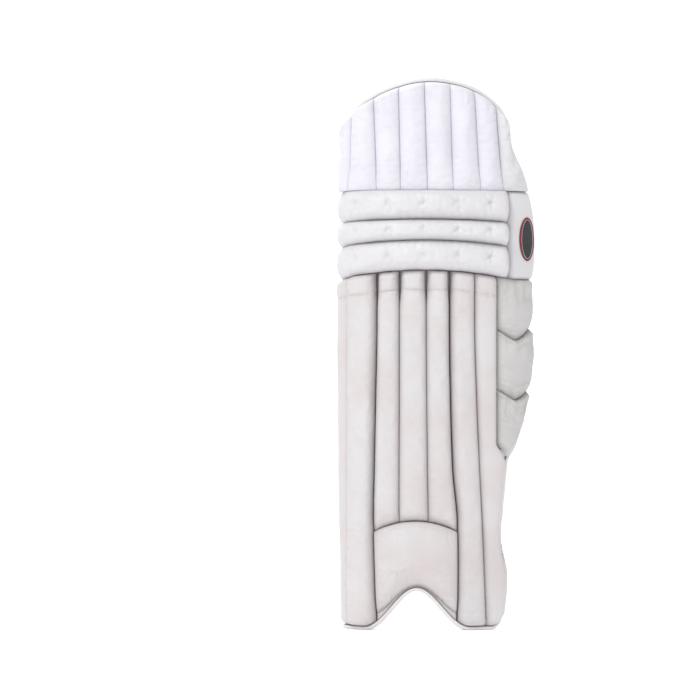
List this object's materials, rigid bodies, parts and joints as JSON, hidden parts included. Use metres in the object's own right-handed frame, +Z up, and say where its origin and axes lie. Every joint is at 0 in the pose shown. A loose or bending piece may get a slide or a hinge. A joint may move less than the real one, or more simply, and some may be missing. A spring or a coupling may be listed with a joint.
{
  "type": "cricket batting pad",
  "caption": "Leg guard with upright padded shin rolls, padded knee rolls, a quilted top hat, a curled calf wing, a split instep flap, back bolsters, straps and a padded knee wrap.",
  "frame": {"origin": "middle of the box round the pad, on the floor that its two foot lobes stand on", "axes": "+Z up the shin, from the instep flap to the top hat; -Y out of the padded front; +Y towards the leg, the straps and the open back; +X towards the calf wing, on the outer side of the leg"},
  "size_m": [0.2452, 0.1196, 0.6898],
  "materials": {
    "leather": "white coated synthetic leather, soft satin sheen",
    "fabric": "white matt coated fabric of the top hat",
    "lining": "white brushed lining with a faint lilac cast",
    "instep": "off-white worn canvas inside the foot lobes",
    "board": "stiff cloth-covered cane and foam board",
    "welt": "white bound rim",
    "webbing": "white brushed hook-and-loop strap",
    "plastic": "white moulded plastic"
  },
  "bodies": {
    "root": {"shin_roll_1": "leather", "shin_roll_2": "leather", "shin_roll_3": "leather", "shin_roll_4": "leather", "shin_roll_5": "leather", "shin_roll_6": "leather", "shin_roll_7": "leather", "instep_pad": "leather", "knee_roll_lower": "leather", "knee_roll_middle": "leather", "knee_roll_upper": "leather", "knee_side_panel": "leather", "wing_upper": "leather", "wing_middle": "leather", "wing_lower": "leather", "knee_wrap_outer": "leather", "knee_wrap_centre": "leather", "knee_wrap_inner": "leather", "top_hat_roll_1": "fabric", "top_hat_roll_2": "fabric", "top_hat_roll_3": "fabric", "top_hat_roll_4": "fabric", "top_hat_roll_5": "fabric", "top_hat_roll_6": "fabric", "top_hat_roll_7": "fabric", "top_hat_roll_8": "fabric", "centre_strip": "lining", "bolster_outer": "lining", "bolster_inner": "lining", "knee_lining": "lining", "wing_lining": "lining", "inner_wall_lining": "lining", "top_hat_lining_inner": "lining", "top_hat_lining_centre": "lining", "top_hat_lining_outer": "lining", "lobe_lining_inner": "instep", "instep_lining": "instep", "lobe_lining_outer": "instep", "backing": "board", "foot_binding": "welt", "edge_binding": "welt", "ankle_strap": "webbing", "ankle_anchor": "webbing", "calf_strap": "webbing", "calf_anchor_upper": "webbing", "calf_anchor_lower": "webbing", "knee_strap": "webbing", "knee_anchor": "webbing", "ankle_loop": "plastic", "calf_loop": "plastic", "knee_loop": "plastic"}
  },
  "joints": []
}
